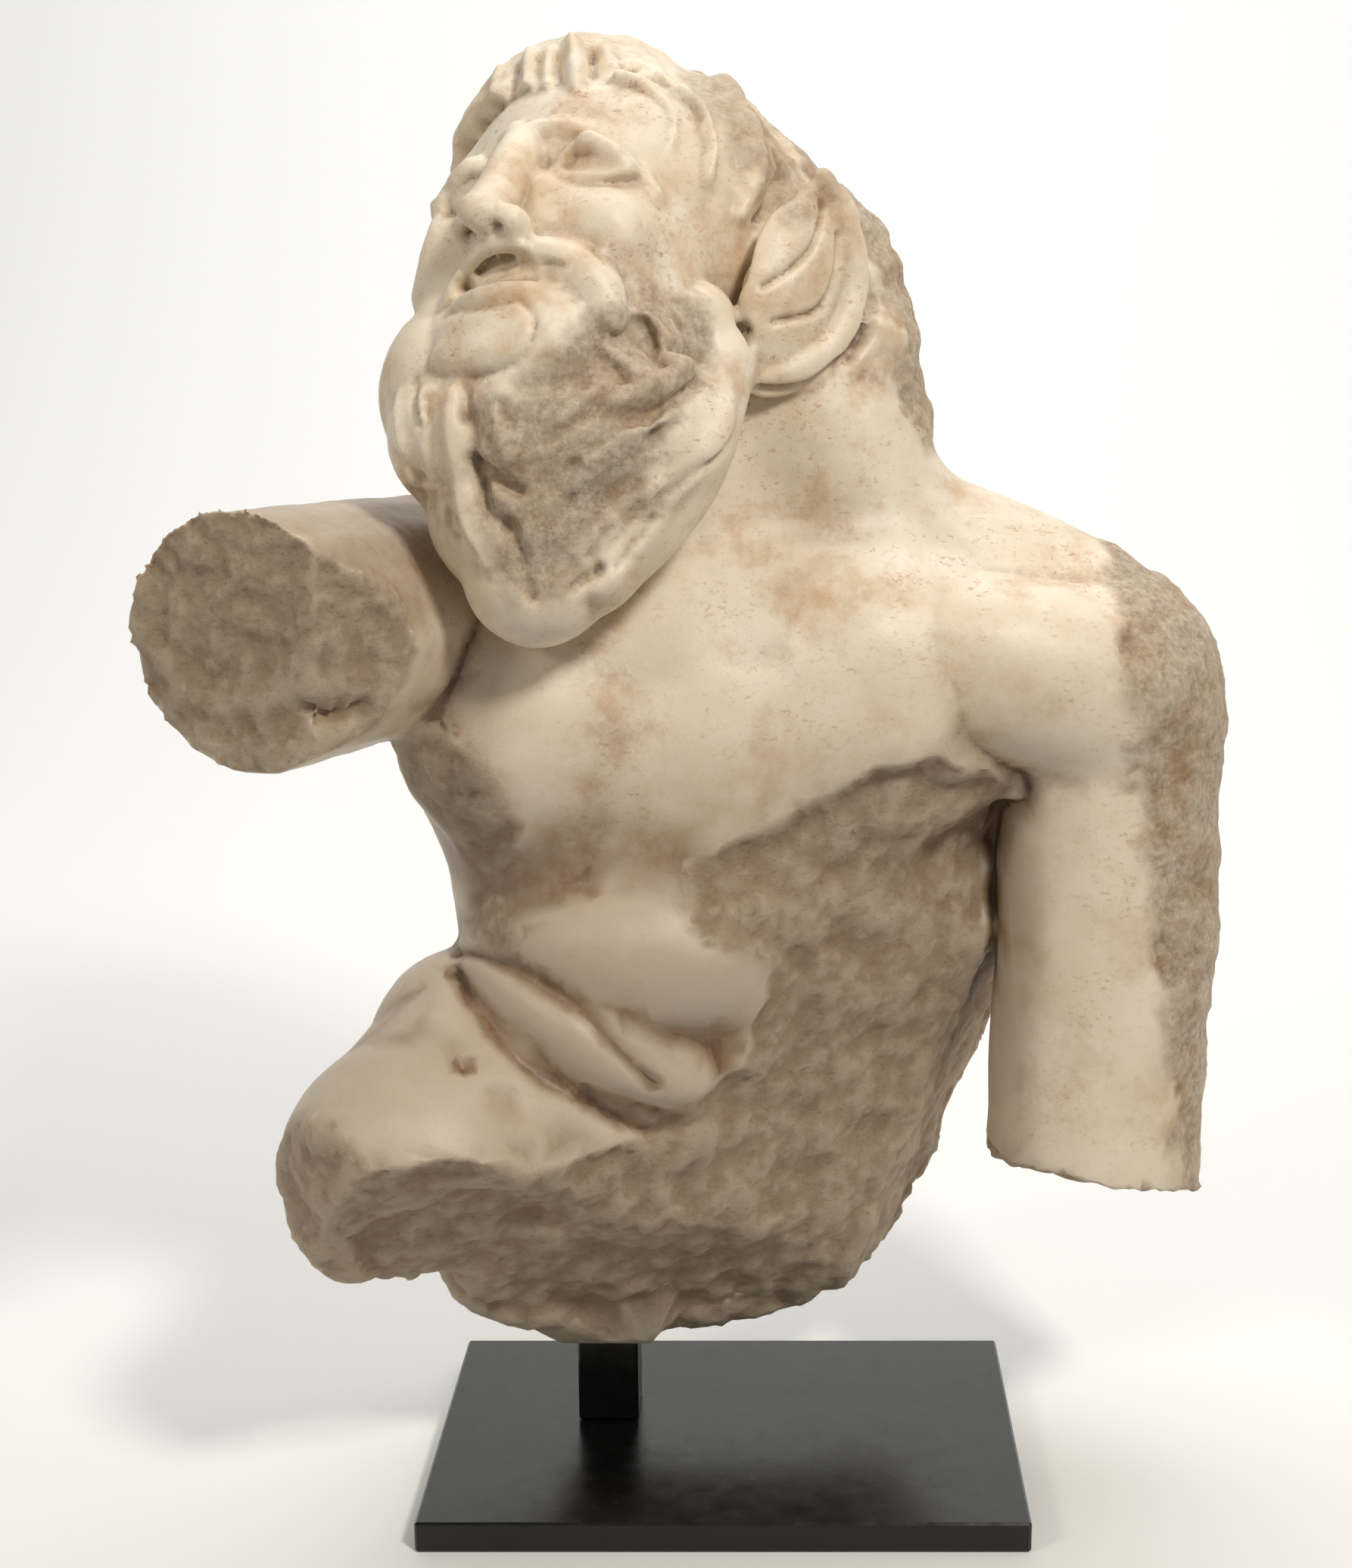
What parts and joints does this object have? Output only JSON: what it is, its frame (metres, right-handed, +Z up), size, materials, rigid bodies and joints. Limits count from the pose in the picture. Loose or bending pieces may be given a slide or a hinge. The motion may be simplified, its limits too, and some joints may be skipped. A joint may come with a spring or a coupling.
{
  "type": "marble satyr statue fragment",
  "caption": "Broken marble figure of a bearded satyr with a goat's ear, arm stumps and a thigh, held on a square post over a flat plate",
  "frame": {"origin": "middle of the plate's underside", "axes": "+X along the plate's long side to the viewer's right, +Y away from the viewer, +Z up; the figure's chest faces -Y"},
  "size_m": [0.2594, 0.1387, 0.3659],
  "materials": {
    "marble": "satin",
    "black_paint": "satin"
  },
  "bodies": {
    "root": {"marble_satyr": "marble", "square_post": "black_paint", "base_plate": "black_paint"}
  },
  "joints": []
}
